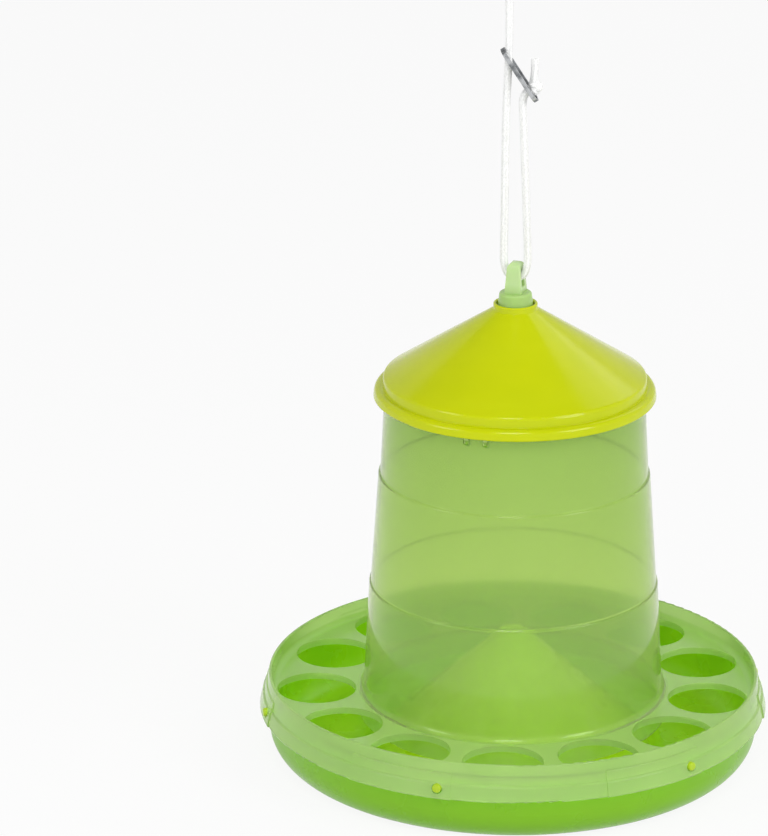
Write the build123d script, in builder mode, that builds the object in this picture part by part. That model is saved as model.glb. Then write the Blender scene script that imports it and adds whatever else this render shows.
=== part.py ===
from build123d import *
from math import cos, hypot, pi, radians, sin
import os

os.makedirs("parts", exist_ok=True)

# A hanging feeder for poultry, in millimetres with Z up. A green dish holds
# the feed, a clear hopper with a ring of feeding holes snaps onto it, a yoke with an
# eye clips into the mouth of the hopper, a cone lid slides down over the yoke, and a
# white cord with a metal slide carries it all. The origin is the middle of the flat
# base of the dish. The front of the feeder faces -Y, and an azimuth is measured from
# the front towards +X.

# Walls, overall size, and how far one shape reaches into the next
wall = 1.6
lid_wall = 1.5
overlap = 1.0
ring_radius = 122.0
total_height = 247.0

# Dish
dish_radius = 118.0
dish_height = 30.6
dish_corner = 15.0
cone_base_radius = 71.0
cone_flat_radius = 5.0
cone_tip_height = 62.0
cone_tip_fillet = 6.0
cone_foot_fillet = 8.0

# Snap pins of the dish
pin_count = 6
first_pin_azimuth = -16.6
pin_diameter = 4.2
pin_height = 28.2
pin_reach = 123.2
pin_end_fillet = 1.0

# Ring of feeding holes
deck_height = 32.3
lip_height = 40.5
lip_radius = 118.2
lip_taper = 0.6
skirt_ledge_height = 30.0
skirt_ledge = 0.9
skirt_ledge_rise = 0.4
skirt_waist_radius = 119.0
skirt_bottom = 22.9
hole_count = 13
hole_radius = 19.2
hole_pitch_radius = 95.1
hole_rim_depth = 3.2
hole_rim_wall = 1.0
first_hole_azimuth = -2.6

# Bayonet pockets in the skirt
latch_hole_diameter = 5.0
latch_hole_reach = 10.0
latch_play = 0.38
pocket_sweep = 25.0
pocket_past_pin = 3.0
pocket_end_sweep = 1.0
pocket_entry_sweep = 4.0
pocket_top = 35.4
pocket_relief = 0.6
pocket_top_radius = 118.2
groove_bottom = 25.6
groove_top = 30.7
groove_foot_radius = 121.0
groove_head_radius = 119.6
groove_entry_flare = 0.6
groove_overlap = 0.1

# Hopper tube, as outer radii
foot_radius = 72.4
foot_fillet = 4.0
throat_radius = 74.6
throat_bottom = 20.0
throat_taper = 0.6
low_ledge_height = 86.8
low_ledge_radius = 69.4
low_ledge = 0.7
high_ledge_height = 141.9
high_ledge_radius = 64.9
high_ledge = 0.9
ledge_fillet = 0.5
ledge_head_fillet = 1.2
mouth_height = 184.3
mouth_radius = 61.9
mouth_flange_radius = 63.9
mouth_fillet = 1.4
window_width = 2.6
window_height = 4.0
window_bottom = 175.9

# Lid
brim_radius = 67.2
brim_flare = 0.6
brim_bottom = 180.6
brim_top = mouth_height + lid_wall
band_radius = 63.0
band_taper = 0.4
shoulder_height = 190.1
collar_radius = 10.5
collar_foot = 223.6
collar_top = 227.0
collar_fillet = 1.0
shoulder_fillet = 1.4
band_fillet = 0.9
brim_fillet = 1.9

# Yoke and its eye
yoke_azimuth = -17.0
boss_radius = 8.7
boss_taper = 1.1
boss_top = 232.2
boss_bottom = 213.0
boss_wall = 2.2
boss_roof = 4.0
boss_bore_bottom = 193.0
boss_fillets = [0.5, 4.0, 1.2]
eye_bar_diameter = 5.8
eye_foot_width = 8.4
eye_depth = 9.8
eye_taper = 0.9
eye_round = 3.2
eye_hole_depth = 4.4
eye_hole_bottom = 235.0
eye_bar_sink = 0.3
arm_width = 12.2
arm_thickness = 2.2
arm_gap = 1.4
rib_height = 8.0
rib_end_height = 2.5
rib_thickness = 2.0
rib_end_setback = 2.0
prong_radius = 59.9
prong_thickness = 2.2
prong_width = 2.0
prong_spacing = 9.2
prong_bottom = 174.6
prong_taper = 0.5
barb_height = 3.48
barb_bottom = 176.4
barb_reach = 2.2

# Cord, slide and knots
cord_diameter = 3.5
cord_turn_radius = 5.0
cord_gap = 0.05
cord_x = -3.65
slide_length = 30.0
slide_width = 10.5
slide_thickness = 1.2
slide_edge = 0.7
slide_slope = 57.0
slide_centre = Vector(0.8, 0, 337.5)
slide_hole_spacing = 17.3
slide_hole_diameter = 4.4
slide_slot_length = 9.6
slide_knot_turn = 1.9
slide_knot_rise = 3.0
slide_knot_tilts = (-35, 25, 80)
loop_knot_turn = 3.9
loop_knot_tilts = (-28, 19)
loop_knot_drop = 2.0
top_knot_height = 383.0


def azimuth_direction(azimuth):
    """Level unit vector that points out from the axis at this azimuth."""
    return Vector(sin(radians(azimuth)), -cos(radians(azimuth)), 0)


def upright_plane(azimuth):
    """Plane through the axis, with its x pointing out at this azimuth and its y up."""
    out = azimuth_direction(azimuth)
    return Plane(origin=(0, 0, 0), x_dir=out, z_dir=out.cross(Vector(0, 0, 1)))


def facing_plane(azimuth, radius, height):
    """Plane that faces out from the axis, at this radius and height."""
    out = azimuth_direction(azimuth)
    centre = out * radius + Vector(0, 0, height)
    return Plane(origin=centre, x_dir=out.cross(Vector(0, 0, -1)), z_dir=out)


pin_azimuths = [first_pin_azimuth + 360 / pin_count * i for i in range(pin_count)]
hole_azimuths = [first_hole_azimuth + 360 / hole_count * i for i in range(hole_count)]
half = wall / 2

# Dish: one shell that rises to a cone in the middle and ends in a plain round rim
with BuildPart() as feed_tray:
    with BuildSketch(Plane.XZ):
        with BuildLine():
            FilletPolyline(
                (-wall, cone_tip_height - half),
                (cone_flat_radius, cone_tip_height - half),
                (cone_base_radius, half),
                (dish_radius - half, half),
                (dish_radius - half, dish_height - half),
                radius=[cone_tip_fillet, cone_foot_fillet, dish_corner - half],
            )
            offset(amount=half)
        make_face()
        with Locations((0, -wall)):
            Rectangle(dish_radius, 2 * cone_tip_height, align=Align.MIN, mode=Mode.INTERSECT)
    revolve(axis=Axis.Z)
    for azimuth in pin_azimuths:
        with BuildSketch(facing_plane(azimuth, dish_radius - half, pin_height)):
            Circle(pin_diameter / 2)
        extrude(amount=pin_reach - dish_radius + half)
    pin_ends = feed_tray.edges().filter_by(GeomType.CIRCLE).filter_by(
        lambda edge: hypot(edge.arc_center.X, edge.arc_center.Y) > pin_reach - pin_end_fillet
    )
    fillet(pin_ends, radius=pin_end_fillet)
feed_tray.part.label = "feed_tray"
export_step(feed_tray.part, "parts/feed_tray.step")

# Hopper: tube, throat, deck, lip and skirt are one clear moulding of even wall
skirt_crest = (lip_radius - half, lip_height - half)
skirt_ledge_top = (skirt_waist_radius, skirt_ledge_height + skirt_ledge_rise)
skirt_ledge_foot = (skirt_waist_radius + skirt_ledge, skirt_ledge_height - skirt_ledge_rise)
skirt_foot = (ring_radius - half, skirt_bottom + half)

with BuildPart() as hopper:
    with BuildSketch(Plane.XZ):
        with BuildLine():
            FilletPolyline(
                (mouth_flange_radius - half, mouth_height - half),
                (mouth_radius - half, mouth_height - half),
                (high_ledge_radius - high_ledge - half, high_ledge_height + high_ledge),
                (high_ledge_radius - half, high_ledge_height),
                (low_ledge_radius - low_ledge - half, low_ledge_height + low_ledge),
                (low_ledge_radius - half, low_ledge_height),
                (foot_radius - half, deck_height - half),
                (lip_radius - half - lip_taper, deck_height - half),
                skirt_crest,
                radius=[mouth_fillet] + [ledge_head_fillet, ledge_fillet] * 2 + [foot_fillet] * 2,
            )
            offset(amount=half)
        make_face()
    revolve(axis=Axis.Z)
    with BuildSketch(Plane.XZ):
        with BuildLine():
            Polyline(skirt_crest, skirt_ledge_top, skirt_ledge_foot, skirt_foot)
            offset(amount=half)
        make_face()
    revolve(axis=Axis.Z)
    with BuildSketch(Plane.XZ):
        with BuildLine():
            Polyline(
                (throat_radius - half - throat_taper, deck_height - half),
                (throat_radius - half, throat_bottom + half),
            )
            offset(amount=half)
        make_face()
    revolve(axis=Axis.Z)

    # Feeding holes, each with a short rim turned down under the deck
    with BuildSketch(Plane.XY.offset(deck_height - hole_rim_depth)):
        with Locations([azimuth_direction(azimuth) * hole_pitch_radius for azimuth in hole_azimuths]):
            Circle(hole_radius + hole_rim_wall)
    extrude(amount=hole_rim_depth - half)
    with BuildSketch(Plane.XY.offset(throat_bottom)):
        with Locations([azimuth_direction(azimuth) * hole_pitch_radius for azimuth in hole_azimuths]):
            Circle(hole_radius)
    extrude(amount=lip_height - throat_bottom, mode=Mode.SUBTRACT)

    # Latch holes for the pins, each at the end of an L-shaped pocket raised on the skirt
    for azimuth in pin_azimuths:
        pocket_start = azimuth - pocket_sweep + pocket_past_pin
        groove_start = pocket_start + pocket_end_sweep
        with BuildSketch(upright_plane(pocket_start)):
            with BuildLine():
                Polyline(
                    (pocket_top_radius + pocket_relief, pocket_top - half),
                    (skirt_ledge_top[0] + pocket_relief, skirt_ledge_top[1]),
                    (skirt_ledge_foot[0] + pocket_relief, skirt_ledge_foot[1]),
                    (skirt_foot[0] + pocket_relief, skirt_foot[1]),
                )
                offset(amount=half)
            make_face()
        revolve(axis=Axis.Z, revolution_arc=pocket_sweep)
        with BuildSketch(upright_plane(groove_start)):
            with BuildLine():
                Polyline(
                    (dish_radius - wall, groove_bottom),
                    (groove_foot_radius, groove_bottom),
                    (groove_head_radius, groove_top),
                    (dish_radius - wall, groove_top),
                    close=True,
                )
            make_face()
        revolve(axis=Axis.Z, revolution_arc=azimuth - groove_start, mode=Mode.SUBTRACT)
        with BuildSketch(upright_plane(groove_start)):
            with BuildLine():
                Polyline(
                    (dish_radius - wall, skirt_bottom - overlap),
                    (groove_foot_radius + groove_entry_flare, skirt_bottom - overlap),
                    (groove_foot_radius, groove_bottom + groove_overlap),
                    (dish_radius - wall, groove_bottom + groove_overlap),
                    close=True,
                )
            make_face()
        revolve(axis=Axis.Z, revolution_arc=pocket_entry_sweep, mode=Mode.SUBTRACT)
        with BuildSketch(facing_plane(azimuth, dish_radius - wall, pin_height - latch_play)):
            Circle(latch_hole_diameter / 2)
        extrude(amount=latch_hole_reach, mode=Mode.SUBTRACT)

    # Windows under the mouth, two at each end of the yoke
    with BuildSketch(facing_plane(yoke_azimuth, 0, window_bottom + window_height / 2)):
        with GridLocations(prong_spacing, 0, 2, 1):
            Rectangle(window_width, window_height)
    extrude(amount=mouth_flange_radius + wall, both=True, mode=Mode.SUBTRACT)
hopper.part.label = "hopper"
export_step(hopper.part, "parts/hopper.step")

# Lid: a plain cone with a band and a brim that sits on the mouth of the hopper
lid_half = lid_wall / 2
cone_top_point = (collar_radius - lid_half, collar_foot)
cone_foot_point = (band_radius - band_taper - lid_half, shoulder_height)

with BuildPart() as lid:
    with BuildSketch(Plane.XZ):
        with BuildLine():
            FilletPolyline(
                (collar_radius - lid_half, collar_top - lid_half),
                cone_top_point,
                cone_foot_point,
                (band_radius - lid_half, brim_top - lid_half),
                (brim_radius - brim_flare - lid_half, brim_top - lid_half),
                (brim_radius - lid_half, brim_bottom + lid_half),
                radius=[collar_fillet, shoulder_fillet, band_fillet, brim_fillet],
            )
            offset(amount=lid_half)
        make_face()
    revolve(axis=Axis.Z)
lid.part.label = "lid"
export_step(lid.part, "parts/lid.step")

# Yoke: an eye on a hollow boss, and two sloping arms that clip into the hopper's mouth
cone_slope = (cone_top_point[1] - cone_foot_point[1]) / (cone_foot_point[0] - cone_top_point[0])
eye_bar_height = total_height - eye_bar_diameter / 2
eye_root = boss_top - overlap
rib_end_radius = prong_radius - prong_thickness - rib_end_setback


def arm_top(radius):
    """Height of the top of an arm, which follows the inside of the lid's cone."""
    return collar_foot - cone_slope * (radius - cone_top_point[0]) - lid_half - arm_gap


with BuildPart() as yoke:
    with BuildSketch(upright_plane(yoke_azimuth)):
        with BuildLine():
            FilletPolyline(
                (-eye_depth / 2, eye_root),
                (-eye_depth / 2 + eye_taper, total_height),
                (eye_depth / 2 - eye_taper, total_height),
                (eye_depth / 2, eye_root),
                radius=eye_round,
                close=False,
            )
            Line((eye_depth / 2, eye_root), (-eye_depth / 2, eye_root))
        make_face()
    extrude(amount=eye_foot_width / 2, both=True)
    with BuildSketch(upright_plane(yoke_azimuth + 90)):
        with BuildLine():
            FilletPolyline(
                (-eye_foot_width / 2, eye_root),
                (-eye_bar_diameter / 2, total_height),
                (eye_bar_diameter / 2, total_height),
                (eye_foot_width / 2, eye_root),
                radius=eye_bar_diameter / 2 - eye_bar_sink,
                close=False,
            )
            Line((eye_foot_width / 2, eye_root), (-eye_foot_width / 2, eye_root))
        make_face()
    extrude(amount=eye_depth, both=True, mode=Mode.INTERSECT)
    with BuildSketch(upright_plane(yoke_azimuth)):
        with Locations((0, eye_hole_bottom)):
            Rectangle(eye_hole_depth, eye_bar_height - eye_hole_bottom, align=(Align.CENTER, Align.MIN))
    extrude(amount=eye_foot_width, both=True, mode=Mode.SUBTRACT)
    with BuildSketch(facing_plane(yoke_azimuth, 0, eye_bar_height)):
        Circle(eye_bar_diameter / 2)
        with Locations((0, eye_bar_sink)):
            Rectangle(eye_bar_diameter, eye_bar_diameter, align=(Align.CENTER, Align.MIN), mode=Mode.SUBTRACT)
    extrude(amount=eye_hole_depth / 2 + overlap, both=True)

    with BuildSketch(Plane.XZ):
        with BuildLine():
            FilletPolyline(
                (0, boss_bottom),
                (boss_radius, boss_bottom),
                (boss_radius, collar_foot),
                (boss_radius - boss_taper, boss_top),
                (0, boss_top),
                radius=boss_fillets,
            )
            Line((0, boss_top), (0, boss_bottom))
        make_face()
    revolve(axis=Axis.Z)

    # The arms, seen from the side, with the prongs and barbs that hold the hopper
    with BuildSketch(upright_plane(yoke_azimuth)):
        with BuildLine():
            Polyline(
                (0, arm_top(boss_radius) - arm_thickness),
                (0, arm_top(boss_radius)),
                (boss_radius, arm_top(boss_radius)),
                (prong_radius, arm_top(prong_radius)),
                (prong_radius, arm_top(prong_radius) - arm_thickness),
                (prong_radius - prong_thickness, arm_top(prong_radius - prong_thickness) - arm_thickness),
                (boss_radius, arm_top(boss_radius) - arm_thickness),
                close=True,
            )
        make_face()
        mirror(about=Plane.YZ)
    extrude(amount=arm_width / 2, both=True)
    with BuildSketch(upright_plane(yoke_azimuth)):
        with BuildLine():
            Polyline(
                (0, arm_top(boss_radius) - arm_thickness / 2),
                (boss_radius, arm_top(boss_radius) - arm_thickness / 2),
                (prong_radius - prong_thickness, arm_top(prong_radius) - arm_thickness / 2),
                (rib_end_radius, arm_top(prong_radius) - arm_thickness - rib_end_height),
                (boss_radius, arm_top(boss_radius) - arm_thickness - rib_height),
                (0, arm_top(boss_radius) - arm_thickness - rib_height),
                close=True,
            )
        make_face()
        mirror(about=Plane.YZ)
    extrude(amount=rib_thickness / 2, both=True)
    for side in (-1, 1):
        with BuildSketch(upright_plane(yoke_azimuth).offset(side * prong_spacing / 2)):
            with BuildLine():
                Polyline(
                    (prong_radius - prong_thickness, arm_top(prong_radius)),
                    (prong_radius, arm_top(prong_radius)),
                    (prong_radius, barb_bottom + barb_height),
                    (prong_radius + barb_reach, barb_bottom + barb_height),
                    (prong_radius + barb_reach, barb_bottom + barb_height / 2),
                    (prong_radius, barb_bottom),
                    (prong_radius - prong_taper, prong_bottom),
                    (prong_radius - prong_thickness, prong_bottom),
                    close=True,
                )
            make_face()
            mirror(about=Plane.YZ)
        extrude(amount=prong_width / 2, both=True)
    with BuildSketch(Plane.XY.offset(boss_bore_bottom)):
        Circle(boss_radius - boss_wall)
    extrude(amount=boss_top - boss_roof - boss_bore_bottom, mode=Mode.SUBTRACT)
yoke.part.label = "yoke"
export_step(yoke.part, "parts/yoke.step")

# Cord slide: a small dished plate with two holes, which tilts and grips the cord
slide_along = Vector(cos(radians(slide_slope)), 0, -sin(radians(slide_slope)))
slide_normal = Vector(sin(radians(slide_slope)), 0, cos(radians(slide_slope)))
slide_plane = Plane(origin=slide_centre, x_dir=slide_along, z_dir=slide_normal)

with BuildPart() as cord_slide:
    with BuildSketch(slide_plane.offset(-slide_thickness / 2)):
        SlotOverall(slide_length, slide_width)
    extrude(amount=slide_thickness + slide_edge)
    with BuildSketch(slide_plane.offset(slide_thickness / 2)):
        SlotOverall(slide_length - 2 * slide_thickness, slide_width - 2 * slide_thickness)
    extrude(amount=slide_edge, mode=Mode.SUBTRACT)
    with BuildSketch(slide_plane.offset(-slide_thickness / 2)):
        with Locations((-slide_hole_spacing / 2, 0)):
            SlotOverall(slide_slot_length, slide_hole_diameter)
        with Locations((slide_hole_spacing / 2, 0)):
            Circle(slide_hole_diameter / 2)
    extrude(amount=slide_thickness, mode=Mode.SUBTRACT)
cord_slide.part.label = "cord_slide"
export_step(cord_slide.part, "parts/cord_slide.step")

# Cord: from the loop that goes on a hook, down through the slide, under the bar of the
# eye, and up to the slide again, where a knot stops it
across_eye = azimuth_direction(yoke_azimuth + 90) * (cord_turn_radius + cord_gap)
eye_turn_height = eye_bar_height - eye_bar_diameter / 2 - cord_diameter / 2 - cord_gap
slide_hole = slide_centre + slide_along * (slide_hole_spacing / 2)
slide_slot = slide_centre - slide_along * (slide_hole_spacing / 2)

cord_route = [
    (cord_x + 1.8, 0, top_knot_height - 0.5),
    (cord_x + 5.2, 0, top_knot_height + 8),
    (cord_x + 5.8, 0, top_knot_height + 21.5),
    (cord_x - 5.8, 0, top_knot_height + 21.5),
    (cord_x - 5.2, 0, top_knot_height + 8),
    (cord_x - 1.8, 0, top_knot_height - 1),
    (cord_x, 0, top_knot_height - 7),
    (slide_slot.X, 0, slide_slot.Z),
    (-5.2, 0.4, 322),
    (-across_eye.X, -across_eye.Y, eye_turn_height),
    (across_eye.X, across_eye.Y, eye_turn_height),
    (2.7, -0.3, 318),
    (slide_hole.X - 3.1, 0, slide_hole.Z - 2.0),
    (slide_hole.X + 2.9, 0, slide_hole.Z + 1.9),
    (slide_hole.X + 2.8, 0, slide_hole.Z + 15),
]
cord_radii = [8, 5.4, 5.4, 8, 12, 10, 40, 40, cord_turn_radius, cord_turn_radius, 40, 3.5, 3.5]
print("cord radii", cord_radii)

with BuildPart() as hanging_cord:
    with BuildLine():
        cord_path = FilletPolyline(*cord_route, radius=cord_radii)
    with BuildSketch(Plane(origin=cord_path @ 0, z_dir=cord_path % 0)):
        Circle(cord_diameter / 2)
    sweep()
hanging_cord.part.label = "hanging_cord"
export_step(hanging_cord.part, "parts/hanging_cord.step")
cord_length = cord_path.length
cord_volume = pi * cord_diameter**2 / 4 * cord_length
print("cord length", round(cord_length, 1))
print("cord volume", round(hanging_cord.part.volume), "of", round(cord_volume))

# Knots: turns of the cord laid over each other round the middle of each knot
knots = {
    "slide_knot": (slide_hole + slide_normal * slide_knot_rise, slide_knot_turn, slide_knot_tilts),
    "loop_knot": (Vector(cord_x, 0, top_knot_height - loop_knot_drop), loop_knot_turn, loop_knot_tilts),
}
for knot_name, (place, turn_radius, tilts) in knots.items():
    with BuildPart() as knot:
        with Locations(place):
            for tilt in tilts:
                with Locations(Rotation(0, tilt, tilt / 2)):
                    Torus(turn_radius, cord_diameter / 2)
        add(hanging_cord.part, mode=Mode.SUBTRACT)
        add(cord_slide.part, mode=Mode.SUBTRACT)
    knot.part.label = knot_name
    export_step(knot.part, f"parts/{knot_name}.step")
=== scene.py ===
import bpy
from math import cos, pi, radians, sin
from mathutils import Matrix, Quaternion, Vector


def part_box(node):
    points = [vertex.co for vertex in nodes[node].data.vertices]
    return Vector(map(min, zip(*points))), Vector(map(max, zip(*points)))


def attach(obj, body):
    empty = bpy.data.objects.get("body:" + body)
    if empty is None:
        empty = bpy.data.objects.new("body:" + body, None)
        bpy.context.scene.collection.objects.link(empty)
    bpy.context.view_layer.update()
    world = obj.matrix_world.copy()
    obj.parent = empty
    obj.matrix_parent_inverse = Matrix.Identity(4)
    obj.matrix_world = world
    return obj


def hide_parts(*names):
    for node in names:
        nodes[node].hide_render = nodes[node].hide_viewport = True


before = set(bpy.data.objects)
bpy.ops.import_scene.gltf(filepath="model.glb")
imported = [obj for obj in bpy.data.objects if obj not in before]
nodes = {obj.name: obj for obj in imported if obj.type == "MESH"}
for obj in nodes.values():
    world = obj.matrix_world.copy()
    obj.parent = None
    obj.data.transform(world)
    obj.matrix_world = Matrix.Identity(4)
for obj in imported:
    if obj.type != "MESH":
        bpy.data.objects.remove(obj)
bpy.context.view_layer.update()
scene = bpy.context.scene
print("frame loaded")


def linear(colour):
    # a colour as seen on screen, 0 to 255, as the numbers that shaders take
    parts = [c / 255 for c in colour]
    return [c / 12.92 if c <= 0.04045 else ((c + 0.055) / 1.055) ** 2.4 for c in parts] + [1.0]


def linkNew(name, data):
    obj = bpy.data.objects.new(name, data)
    scene.collection.objects.link(obj)
    return obj


# Camera at the photograph's angle
camera = {
    "place": (-0.000757, -2.135241, 0.918651),
    "aim": (-0.062163, 0.0, 0.168483),
    "roll": -0.121,  # degrees
    "lens": 204.792,  # for a sensor 36 mm tall
    "farthest": 50,
}
cameraData = bpy.data.cameras.new("camera")
cameraData.sensor_width = 36
cameraData.lens = camera["lens"]
cameraData.clip_end = camera["farthest"]
cameraObject = linkNew("camera", cameraData)
cameraObject.location = camera["place"]
toAim = Vector(camera["aim"]) - Vector(camera["place"])
cameraObject.rotation_mode = "QUATERNION"
roll = Quaternion((0, 0, 1), radians(camera["roll"]))
cameraObject.rotation_quaternion = toAim.to_track_quat("-Z", "Y") @ roll
scene.camera = cameraObject

# Cord: sizes in metres, and the route of the CAD tube in millimetres, eased round the eye
cord = {
    "diameter": 0.0035,
    "length": 0.309,
    "strandsEachWay": 6,
    "pitch": 0.0082,
    "samplesEachPitch": 24,
    "strandWidth": 0.00082,
    "strandThickness": 0.00042,
    "weave": 0.00019,
    "coreRadius": 0.00128,
    "route": [
        (-1.85, 0, 382.5),
        (1.55, 0, 391),
        (2.15, 0, 404.5),
        (-9.45, 0, 404.5),
        (-8.85, 0, 391),
        (-5.45, 0, 382),
        (-3.65, 0, 376),
        (-3.91, 0, 344.76),
        (-5.1, 0.4, 322),
        (-5.5, 1.6, 262),
        (-5.9, 1.8, 239.2),
        (5.9, -1.8, 239.2),
        (5.3, -1.3, 262),
        (3.0, -0.3, 318),
        (2.41, 0, 328.25),
        (8.41, 0, 332.15),
        (8.31, 0, 345.25),
    ],
}


def routeCurve(name, points):
    curve = bpy.data.curves.new(name, "CURVE")
    curve.dimensions = "3D"
    spline = curve.splines.new("NURBS")
    spline.points.add(len(points) - 1)
    for point, place in zip(spline.points, points):
        point.co = (place[0] / 1000, place[1] / 1000, place[2] / 1000, 1)
    spline.order_u = 3
    spline.use_endpoint_u = True
    spline.resolution_u = 16
    curve.resolution_u = 16
    return linkNew(name, curve)


routeObject = routeCurve("cord_route", cord["route"])
bpy.context.view_layer.update()
evaluated = routeObject.evaluated_get(bpy.context.evaluated_depsgraph_get())
routeMesh = bpy.data.meshes.new_from_object(evaluated)
cordPath = [vertex.co.copy() for vertex in routeMesh.vertices]
bpy.data.objects.remove(routeObject)
print("cord route read,", len(cordPath), "points")


# Braid tree: strands that cross over and under each other round a path, on a plain core
def buildBraidTree(material):
    tree = bpy.data.node_groups.new("braidAlongPath", "GeometryNodeTree")
    sockets = {}
    face = tree.interface
    face.new_socket("Geometry", in_out="INPUT", socket_type="NodeSocketGeometry")
    for label, kind, value in (
        ("Strands Each Way", "NodeSocketInt", cord["strandsEachWay"]),
        ("Pitch", "NodeSocketFloat", cord["pitch"]),
        ("Sample Length", "NodeSocketFloat", cord["pitch"] / cord["samplesEachPitch"]),
        ("Strand Width", "NodeSocketFloat", cord["strandWidth"]),
        ("Strand Thickness", "NodeSocketFloat", cord["strandThickness"]),
        ("Weave", "NodeSocketFloat", cord["weave"]),
        ("Braid Radius", "NodeSocketFloat", cord["diameter"] / 2 - cord["strandThickness"]),
        ("Core Radius", "NodeSocketFloat", cord["coreRadius"]),
    ):
        socket = face.new_socket(label, in_out="INPUT", socket_type=kind)
        socket.default_value = value
        sockets[label] = socket.identifier
    face.new_socket("Geometry", in_out="OUTPUT", socket_type="NodeSocketGeometry")
    add = tree.nodes.new
    join = tree.links.new
    into = add("NodeGroupInput")
    out = add("NodeGroupOutput")

    def maths(operation, *values):
        node = add("ShaderNodeMath")
        node.operation = operation
        for socket, value in zip(node.inputs, values):
            if isinstance(value, (int, float)):
                socket.default_value = value
            else:
                join(value, socket)
        return node.outputs[0]

    def vectors(operation, first, second=None, scale=None):
        node = add("ShaderNodeVectorMath")
        node.operation = operation
        join(first, node.inputs[0])
        if second is not None:
            join(second, node.inputs[1])
        if scale is not None:
            join(scale, node.inputs["Scale"])
        return node.outputs[0]

    def capture(geometry, kind, value):
        node = add("GeometryNodeCaptureAttribute")
        node.capture_items.new(kind, "kept")
        node.domain = "POINT"
        join(geometry, node.inputs[0])
        join(value, node.inputs[1])
        return node.outputs[0], node.outputs[1]

    def circle(sides):
        node = add("GeometryNodeCurvePrimitiveCircle")
        node.mode = "RADIUS"
        node.inputs["Resolution"].default_value = sides
        return node

    def sweep(curve, profile):
        node = add("GeometryNodeCurveToMesh")
        join(curve, node.inputs["Curve"])
        join(profile, node.inputs["Profile Curve"])
        node.inputs["Fill Caps"].default_value = True
        return node.outputs["Mesh"]

    path = add("GeometryNodeMeshToCurve")
    join(into.outputs["Geometry"], path.inputs["Mesh"])
    even = add("GeometryNodeResampleCurve")
    even.mode = "LENGTH"
    join(path.outputs["Curve"], even.inputs["Curve"])
    join(into.outputs["Sample Length"], even.inputs["Length"])
    along = add("GeometryNodeSplineParameter").outputs["Length"]
    normal = add("GeometryNodeInputNormal").outputs[0]
    tangent = add("GeometryNodeInputTangent").outputs[0]
    geometry, lengths = capture(even.outputs["Curve"], "FLOAT", along)
    geometry, across = capture(geometry, "VECTOR", normal)
    geometry, beside = capture(geometry, "VECTOR", vectors("CROSS_PRODUCT", tangent, normal))

    # every strand is a copy of the path that winds round it, half of them the other way
    count = into.outputs["Strands Each Way"]
    copies = add("GeometryNodeDuplicateElements")
    copies.domain = "SPLINE"
    join(geometry, copies.inputs["Geometry"])
    join(maths("MULTIPLY", count, 2), copies.inputs["Amount"])
    number = copies.outputs["Duplicate Index"]
    hand = maths("SUBTRACT", maths("MULTIPLY", maths("MODULO", number, 2), 2), 1)
    seat = maths("FLOOR", maths("DIVIDE", number, 2))
    start = maths("DIVIDE", maths("MULTIPLY", seat, 2 * pi), count)
    turn = maths("DIVIDE", maths("MULTIPLY", lengths, 2 * pi), into.outputs["Pitch"])
    angle = maths("MULTIPLY", hand, maths("ADD", turn, start))
    wave = maths("COSINE", maths("MULTIPLY", count, turn))
    rise = maths("MULTIPLY", maths("MULTIPLY", wave, hand), into.outputs["Weave"])
    radius = maths("ADD", into.outputs["Braid Radius"], rise)
    away = vectors(
        "ADD",
        vectors("SCALE", across, scale=maths("COSINE", angle)),
        vectors("SCALE", beside, scale=maths("SINE", angle)),
    )
    move = add("GeometryNodeSetPosition")
    join(copies.outputs["Geometry"], move.inputs["Geometry"])
    join(vectors("SCALE", away, scale=radius), move.inputs["Offset"])
    upright = add("GeometryNodeSetCurveNormal")
    upright.mode = "FREE"
    join(move.outputs["Geometry"], upright.inputs["Curve"])
    join(away, upright.inputs["Normal"])

    shape = add("ShaderNodeCombineXYZ")
    join(into.outputs["Strand Thickness"], shape.inputs[0])
    join(into.outputs["Strand Width"], shape.inputs[1])
    flat = add("GeometryNodeTransform")
    join(circle(6).outputs["Curve"], flat.inputs["Geometry"])
    join(shape.outputs[0], flat.inputs["Scale"])
    strands = sweep(upright.outputs["Curve"], flat.outputs["Geometry"])
    coreProfile = circle(12)
    join(into.outputs["Core Radius"], coreProfile.inputs["Radius"])
    core = sweep(even.outputs["Curve"], coreProfile.outputs["Curve"])

    both = add("GeometryNodeJoinGeometry")
    join(strands, both.inputs["Geometry"])
    join(core, both.inputs["Geometry"])
    real = add("GeometryNodeRealizeInstances")
    join(both.outputs["Geometry"], real.inputs["Geometry"])
    finish = add("GeometryNodeSetMaterial")
    finish.inputs["Material"].default_value = material
    join(real.outputs["Geometry"], finish.inputs["Geometry"])
    join(finish.outputs["Geometry"], out.inputs["Geometry"])
    return tree, sockets


def braid(name, points, closed=False, sizes=None):
    # a plain mesh of braided cord along the points, with its material on it
    edges = [(i, i + 1) for i in range(len(points) - 1)]
    if closed:
        edges.append((len(points) - 1, 0))
    line = bpy.data.meshes.new(name + "_line")
    line.from_pydata(points, edges, [])
    holder = linkNew(name + "_line", line)
    modifier = holder.modifiers.new("braid", "NODES")
    modifier.node_group = braidTree
    for label, value in (sizes or {}).items():
        modifier[braidSockets[label]] = value
    bpy.context.view_layer.update()
    shaped = holder.evaluated_get(bpy.context.evaluated_depsgraph_get())
    mesh = bpy.data.meshes.new_from_object(shaped)
    mesh.name = name
    holder.modifiers.remove(modifier)
    bpy.data.objects.remove(holder)
    mesh.materials.clear()
    mesh.materials.append(cordFibre)
    for polygon in mesh.polygons:
        polygon.use_smooth = True
    return linkNew(name, mesh)


def newMaterial(name):
    material = bpy.data.materials.new(name)
    material.use_nodes = True
    return material, material.node_tree


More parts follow.
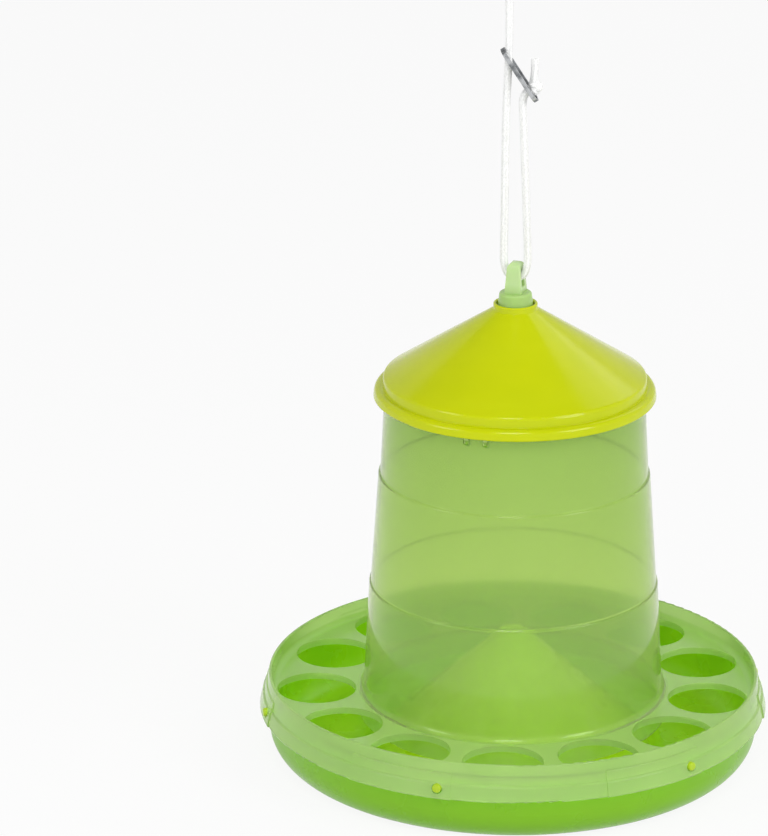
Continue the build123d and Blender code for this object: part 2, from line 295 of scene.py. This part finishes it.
def noise(tree, place, scale, detail=2.0, stretch=(1, 1, 1)):
    mapping = tree.nodes.new("ShaderNodeMapping")
    mapping.inputs["Scale"].default_value = stretch
    texture = tree.nodes.new("ShaderNodeTexNoise")
    texture.inputs["Scale"].default_value = scale
    texture.inputs["Detail"].default_value = detail
    tree.links.new(place, mapping.inputs["Vector"])
    tree.links.new(mapping.outputs["Vector"], texture.inputs["Vector"])
    return texture.outputs["Fac"]


def spread(tree, value, low, high, fromLow=0.35, fromHigh=0.65):
    node = tree.nodes.new("ShaderNodeMapRange")
    node.inputs["From Min"].default_value = fromLow
    node.inputs["From Max"].default_value = fromHigh
    node.inputs["To Min"].default_value = low
    node.inputs["To Max"].default_value = high
    tree.links.new(value, node.inputs["Value"])
    return node.outputs["Result"]


def blendColours(tree, factor, first, second):
    node = tree.nodes.new("ShaderNodeMix")
    node.data_type = "RGBA"
    tree.links.new(factor, node.inputs["Factor"])
    for socket, colour in ((node.inputs["A"], first), (node.inputs["B"], second)):
        if isinstance(colour, (tuple, list)):
            socket.default_value = linear(colour)
        else:
            tree.links.new(colour, socket)
    return node.outputs["Result"]


def vectorStep(tree, operation, first, second=None):
    node = tree.nodes.new("ShaderNodeVectorMath")
    node.operation = operation
    tree.links.new(first, node.inputs[0])
    if isinstance(second, tuple):
        node.inputs[1].default_value = second
    elif second is not None:
        tree.links.new(second, node.inputs[1])
    return node.outputs["Value"] if operation in ("LENGTH", "DOT_PRODUCT") else node.outputs[0]


def zone(tree, place, kind, start, end):
    # 0 to 1 from start to end, in metres of height or of radius, or in how far a face looks outwards
    if kind == "height":
        value = vectorStep(tree, "LENGTH", vectorStep(tree, "MULTIPLY", place, (0, 0, 1)))
    else:
        fromAxis = vectorStep(tree, "MULTIPLY", place, (1, 1, 0))
        value = vectorStep(tree, "LENGTH", fromAxis)
    if kind == "outside":
        # faces that look outwards or down, against those that look inwards or up
        outwards = vectorStep(tree, "ADD", vectorStep(tree, "NORMALIZE", fromAxis), (0, 0, -1))
        normal = tree.nodes.new("ShaderNodeNewGeometry").outputs["Normal"]
        value = vectorStep(tree, "DOT_PRODUCT", normal, outwards)
    return spread(tree, value, 0, 1, start, end)


def bumped(tree, height, strength, depth, under=None):
    bump = tree.nodes.new("ShaderNodeBump")
    bump.inputs["Strength"].default_value = strength
    bump.inputs["Distance"].default_value = depth
    tree.links.new(height, bump.inputs["Height"])
    if under is not None:
        tree.links.new(under, bump.inputs["Normal"])
    return bump.outputs["Normal"]


def mouldedPlastic(name, finish):
    # moulded plastic: cloudy colour, faint flow lines, fine grain and a few scuffs
    material, tree = newMaterial(name)
    shader = tree.nodes["Principled BSDF"]
    place = tree.nodes.new("ShaderNodeTexCoord").outputs["Object"]
    clouds = spread(tree, noise(tree, place, finish["cloudScale"], 3), 0, 1)
    colour = blendColours(tree, clouds, finish["colour"], finish["deep"])
    flow = noise(tree, place, finish["flowScale"], 2, finish["flowStretch"])
    colour = blendColours(tree, spread(tree, flow, 0, finish["flow"]), colour, finish["pale"])
    for *where, zoneColour in finish["zones"]:
        colour = blendColours(tree, zone(tree, place, *where), colour, zoneColour)
    tree.links.new(colour, shader.inputs["Base Color"])
    scuffs = noise(tree, place, finish["scuffScale"], 6, finish["scuffStretch"])
    smudges = noise(tree, place, finish["smudgeScale"], 4)
    rough = tree.nodes.new("ShaderNodeMath")
    rough.operation = "MULTIPLY_ADD"
    rough.inputs[1].default_value = finish["scuff"]
    tree.links.new(spread(tree, scuffs, 0, 1, *finish["scuffRange"]), rough.inputs[0])
    least, most = (share * finish["roughness"] for share in finish["smudges"])
    tree.links.new(spread(tree, smudges, least, most), rough.inputs[2])
    roughness = rough.outputs[0]
    shader.inputs["Transmission Weight"].default_value = finish["clear"]
    if finish["ring"]:
        # from the tube's clearness and gloss to those of the ring round it
        ring = finish["ring"]
        inRing = zone(tree, place, *ring["where"])
        clear = spread(tree, inRing, finish["clear"], ring["clear"], 0, 1)
        tree.links.new(clear, shader.inputs["Transmission Weight"])
        duller = tree.nodes.new("ShaderNodeMath")
        duller.operation = "MULTIPLY"
        tree.links.new(roughness, duller.inputs[0])
        tree.links.new(spread(tree, inRing, 1, ring["duller"], 0, 1), duller.inputs[1])
        roughness = duller.outputs[0]
    tree.links.new(roughness, shader.inputs["Roughness"])
    grain = noise(tree, place, finish["grainScale"], 2)
    grained = bumped(tree, grain, finish["grain"], finish["grainDepth"])
    ripple = noise(tree, place, finish["rippleScale"], 1)
    rippled = bumped(tree, ripple, finish["ripple"], finish["rippleDepth"], grained)
    tree.links.new(rippled, shader.inputs["Normal"])
    shader.inputs["IOR"].default_value = finish["ior"]
    shader.inputs["Specular IOR Level"].default_value = finish["shine"]
    shader.inputs["Subsurface Weight"].default_value = finish["milk"]
    shader.inputs["Subsurface Radius"].default_value = finish["milkRadius"]
    shader.inputs["Subsurface Scale"].default_value = 0.001
    if finish["lampThrough"]:
        # lamps shine through the clear walls
        rays = tree.nodes.new("ShaderNodeLightPath").outputs["Is Shadow Ray"]
        share = tree.nodes.new("ShaderNodeMath")
        share.operation = "MULTIPLY"
        share.inputs[1].default_value = finish["lampThrough"]
        through = tree.nodes.new("ShaderNodeBsdfTransparent")
        through.inputs["Color"].default_value = linear(finish["lampTint"])
        mix = tree.nodes.new("ShaderNodeMixShader")
        tree.links.new(rays, share.inputs[0])
        tree.links.new(share.outputs[0], mix.inputs["Fac"])
        tree.links.new(shader.outputs[0], mix.inputs[1])
        tree.links.new(through.outputs[0], mix.inputs[2])
        tree.links.new(mix.outputs[0], tree.nodes["Material Output"].inputs["Surface"])
    return material


# What the moulded pieces share: scales of the patterns, depths in metres, and the gloss
moulded = {
    "cloudScale": 18,
    "flow": 0.12,
    "flowScale": 14,
    "flowStretch": (1, 1, 9),
    "roughness": 0.28,
    "smudges": (0.8, 1.25),
    "smudgeScale": 35,
    "scuff": 0.08,
    "scuffScale": 60,
    "scuffStretch": (1, 1, 0.35),
    "scuffRange": (0.62, 0.72),
    "grain": 0.25,
    "grainScale": 2600,
    "grainDepth": 0.0002,
    "ripple": 0.03,
    "rippleScale": 24,
    "rippleDepth": 0.002,
    "ior": 1.49,
    "shine": 0.35,
    "clear": 0.0,
    "milk": 0.12,
    "milkRadius": (1.2, 1.6, 0.5),
    "lampThrough": 0,
    "ring": None,
    "zones": (),
}
# The dish has painted shade outside, darker and greener there, and painted light on its cone and on
# the ends of its pins, yellower and lighter there
dish = {
    **moulded,
    "colour": (162, 212, 32),
    "deep": (152, 207, 24),
    "pale": (174, 220, 56),
    "zones": (
        # painted light: the cone yellower, as if lit through the green tube
        ("radius", 0.07, 0.058, (166, 200, 20)),
        # painted shade: the faces that look outwards or down are darker and greener
        ("outside", 0.2, 0.6, (126, 186, 22)),
        # painted light: the ends of the pins lighter, where they stick out and catch the light
        ("radius", 0.1184, 0.1192, (178, 208, 40)),
    ),
}
lid = {
    **moulded,
    "colour": (199, 209, 0),
    "deep": (192, 204, 0),
    "pale": (208, 217, 30),
    "roughness": 0.12,
    "scuff": 0.05,
    "grain": 0.1,
    "shine": 0.27,
}
# The ring of the hopper is milkier and duller than its tube
hopper = {
    **moulded,
    "colour": (201, 228, 152),
    "deep": (194, 224, 143),
    "pale": (210, 232, 167),
    "roughness": 0.1,
    "scuff": 0.04,
    "grain": 0.02,
    "ripple": 0.015,
    "clear": 0.84,
    "milk": 0.0,
    "ior": 1.33,
    "shine": 0.5,
    "lampThrough": 0.95,
    "lampTint": (242, 250, 220),
    "ring": {"where": ("radius", 0.0735, 0.0755), "clear": 0.6, "duller": 1.9},
    "zones": (
        ("radius", 0.0755, 0.0735, (210, 229, 156)),
        ("height", 0.07, 0.18, (194, 219, 138)),
    ),
}
# The eye is paler than the boss under it, and the prongs carry painted light, lighter against the
# shade they sit in under the lid
hanger = {
    **moulded,
    "colour": (168, 202, 116),
    "deep": (160, 197, 106),
    "pale": (182, 212, 138),
    "roughness": 0.2,
    "grain": 0.05,
    "shine": 0.5,
    "milk": 0.4,
    "milkRadius": (3.0, 4.0, 2.0),
    "zones": (
        ("height", 0.231, 0.237, (190, 218, 154)),
        # painted light: the prongs under the lid are lighter
        ("height", 0.204, 0.2, (190, 226, 122)),
    ),
}
plastics = {
    "feed_tray": mouldedPlastic("dish_plastic", dish),
    "lid": mouldedPlastic("lid_plastic", lid),
    "hopper": mouldedPlastic("clear_hopper_plastic", hopper),
    "yoke": mouldedPlastic("hanger_plastic", hanger),
}
print("plastics made")

# Slide: zinc on pressed steel, with fine scratches along the plate
slide = {
    "bright": (196, 198, 200),
    "dull": (120, 123, 126),
    "roughness": (0.2, 0.42),
    "slope": 57,  # degrees
    "spangleScale": 240,
    "scratchScale": 900,
    "scratchStretch": (0.06, 1, 1),
    "scratchDepth": 0.0001,
}
slideZinc, tree = newMaterial("slide_zinc")
shader = tree.nodes["Principled BSDF"]
turned = tree.nodes.new("ShaderNodeMapping")
turned.inputs["Rotation"].default_value = (0, radians(-slide["slope"]), 0)
tree.links.new(tree.nodes.new("ShaderNodeTexCoord").outputs["Object"], turned.inputs["Vector"])
plate = turned.outputs["Vector"]
spangle = spread(tree, noise(tree, plate, slide["spangleScale"], 3), 0, 1, 0.4, 0.6)
scratches = noise(tree, plate, slide["scratchScale"], 3, slide["scratchStretch"])
zincColour = blendColours(tree, spangle, slide["bright"], slide["dull"])
tree.links.new(zincColour, shader.inputs["Base Color"])
tree.links.new(spread(tree, scratches, *slide["roughness"]), shader.inputs["Roughness"])
tree.links.new(bumped(tree, scratches, 0.15, slide["scratchDepth"]), shader.inputs["Normal"])
shader.inputs["Metallic"].default_value = 1.0

# Cord fibre: soft white threads, with a little grey painted shade in the dips between them
fibre = {
    "thread": (252, 252, 251),
    "hollow": (226, 228, 227),
    "roughness": (0.6, 0.85),
    "threadScale": 1800,
    "threadDepth": 0.0001,
    "sheen": 0.2,
}
cordFibre, tree = newMaterial("cord_fibre")
shader = tree.nodes["Principled BSDF"]
place = tree.nodes.new("ShaderNodeTexCoord").outputs["Object"]
threads = noise(tree, place, fibre["threadScale"], 3, (1, 1, 0.5))
# the grey is painted shade, where the threads dip
fibreColour = blendColours(tree, spread(tree, threads, 0, 0.7), fibre["thread"], fibre["hollow"])
tree.links.new(fibreColour, shader.inputs["Base Color"])
tree.links.new(spread(tree, threads, *fibre["roughness"]), shader.inputs["Roughness"])
tree.links.new(bumped(tree, threads, 0.4, fibre["threadDepth"]), shader.inputs["Normal"])
shader.inputs["Sheen Weight"].default_value = fibre["sheen"]
print("slide and cord finishes made")

braidTree, braidSockets = buildBraidTree(cordFibre)
hangingCord = braid("braided_cord", cordPath)
print("cord braided,", len(hangingCord.data.polygons), "faces")

# Knots: a closed trefoil of the same cord, drawn tight, sizes and shifts in metres
knots = {
    "slide_knot": {
        "name": "stopper_knot",
        "size": 0.00066,
        "depth": 0.0009,
        "thin": 0.86,
        "shift": (0.0006, -0.0012, 0.0006),
    },
    "loop_knot": {
        "name": "loop_overhand_knot",
        "size": 0.00105,
        "depth": 0.0015,
        "thin": 0.95,
        "shift": (0, 0, 0),
    },
}
knotSteps = 72
for nodeName, knot in knots.items():
    low, high = (Vector(corner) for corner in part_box(nodeName))
    middle = (low + high) / 2 + Vector(knot["shift"])
    loop = []
    for step in range(knotSteps):
        t = 2 * pi * step / knotSteps
        sideways = (sin(t) + 2 * sin(2 * t)) * knot["size"]
        forwards = -sin(3 * t) * knot["depth"]
        upwards = (cos(t) - 2 * cos(2 * t)) * knot["size"]
        loop.append(middle + Vector((sideways, forwards, upwards)))
    thinner = {
        "Braid Radius": (cord["diameter"] / 2 - cord["strandThickness"]) * knot["thin"],
        "Core Radius": cord["coreRadius"] * knot["thin"],
    }
    piece = braid(knot["name"], loop, True, thinner)
    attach(piece, "root")
    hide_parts(nodeName)
print("knots made")

for nodeName, material in {**plastics, "cord_slide": slideZinc}.items():
    nodes[nodeName].data.materials.clear()
    nodes[nodeName].data.materials.append(material)

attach(hangingCord, "root")
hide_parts("hanging_cord")
print("pieces finished")

# Floor, white to the camera and in gloss, with the object's soft shadow on it
ground = {"grey": 0.86, "roughness": 0.9, "glow": 0.9}
floorMesh = bpy.data.meshes.new("floor")
floorMesh.from_pydata([(-4, -4, 0), (4, -4, 0), (4, 6, 0), (-4, 6, 0)], [], [(0, 1, 2, 3)])
floor = linkNew("floor", floorMesh)
floorWhite, tree = newMaterial("floor_white")
shader = tree.nodes["Principled BSDF"]
shader.inputs["Base Color"].default_value = (ground["grey"], ground["grey"], ground["grey"], 1)
shader.inputs["Roughness"].default_value = ground["roughness"]
rays = tree.nodes.new("ShaderNodeLightPath")
seen = rays.outputs["Is Camera Ray"]
for kind in ("Is Transmission Ray", "Is Glossy Ray"):
    either = tree.nodes.new("ShaderNodeMath")
    either.operation = "MAXIMUM"
    tree.links.new(seen, either.inputs[0])
    tree.links.new(rays.outputs[kind], either.inputs[1])
    seen = either.outputs[0]
share = tree.nodes.new("ShaderNodeMath")
share.operation = "MULTIPLY"
share.inputs[1].default_value = ground["glow"]
glow = tree.nodes.new("ShaderNodeEmission")
glow.inputs["Strength"].default_value = 1.0
mix = tree.nodes.new("ShaderNodeMixShader")
tree.links.new(seen, share.inputs[0])
tree.links.new(share.outputs[0], mix.inputs["Fac"])
tree.links.new(shader.outputs[0], mix.inputs[1])
tree.links.new(glow.outputs[0], mix.inputs[2])
tree.links.new(mix.outputs[0], tree.nodes["Material Output"].inputs["Surface"])
floorMesh.materials.append(floorWhite)

# Light: a white room with a dimmer ceiling, and soft lamps
lights = {
    "walls": 0.7,
    "ceiling": 0.25,
    "wallTop": (0.59, 0.65),
    "centre": (0, 0, 0.12),
    "lamps": {
        "key_light": {"place": (1.4, -1.0, 1.1), "size": (0.8, 1.1), "power": 13},
        "fill_light": {"place": (-1.4, -0.8, 0.9), "size": (0.6, 1.0), "power": 6},
        "back_light": {"place": (0.95, 1.0, 1.45), "size": (0.5, 1.1), "power": 2},
        "front_light": {"place": (-0.05, -1.05, 1.4), "size": (0.5, 0.5), "power": 7},
    },
}
world = bpy.data.worlds.new("studio")
scene.world = world
world.use_nodes = True
tree = world.node_tree
split = tree.nodes.new("ShaderNodeSeparateXYZ")
tree.links.new(tree.nodes.new("ShaderNodeTexCoord").outputs["Generated"], split.inputs[0])
glowing = spread(tree, split.outputs["Z"], lights["walls"], lights["ceiling"], *lights["wallTop"])
tree.nodes["Background"].inputs["Color"].default_value = (1, 1, 1, 1)
tree.links.new(glowing, tree.nodes["Background"].inputs["Strength"])
for lampName, lamp in lights["lamps"].items():
    data = bpy.data.lights.new(lampName, "AREA")
    data.shape = "RECTANGLE"
    data.size, data.size_y = lamp["size"]
    data.energy = lamp["power"]
    lampObject = linkNew(lampName, data)
    lampObject.location = lamp["place"]
    toObject = Vector(lights["centre"]) - Vector(lamp["place"])
    lampObject.rotation_mode = "QUATERNION"
    lampObject.rotation_quaternion = toObject.to_track_quat("-Z", "Y")
print("floor and light made")

scene.view_settings.view_transform = "Standard"
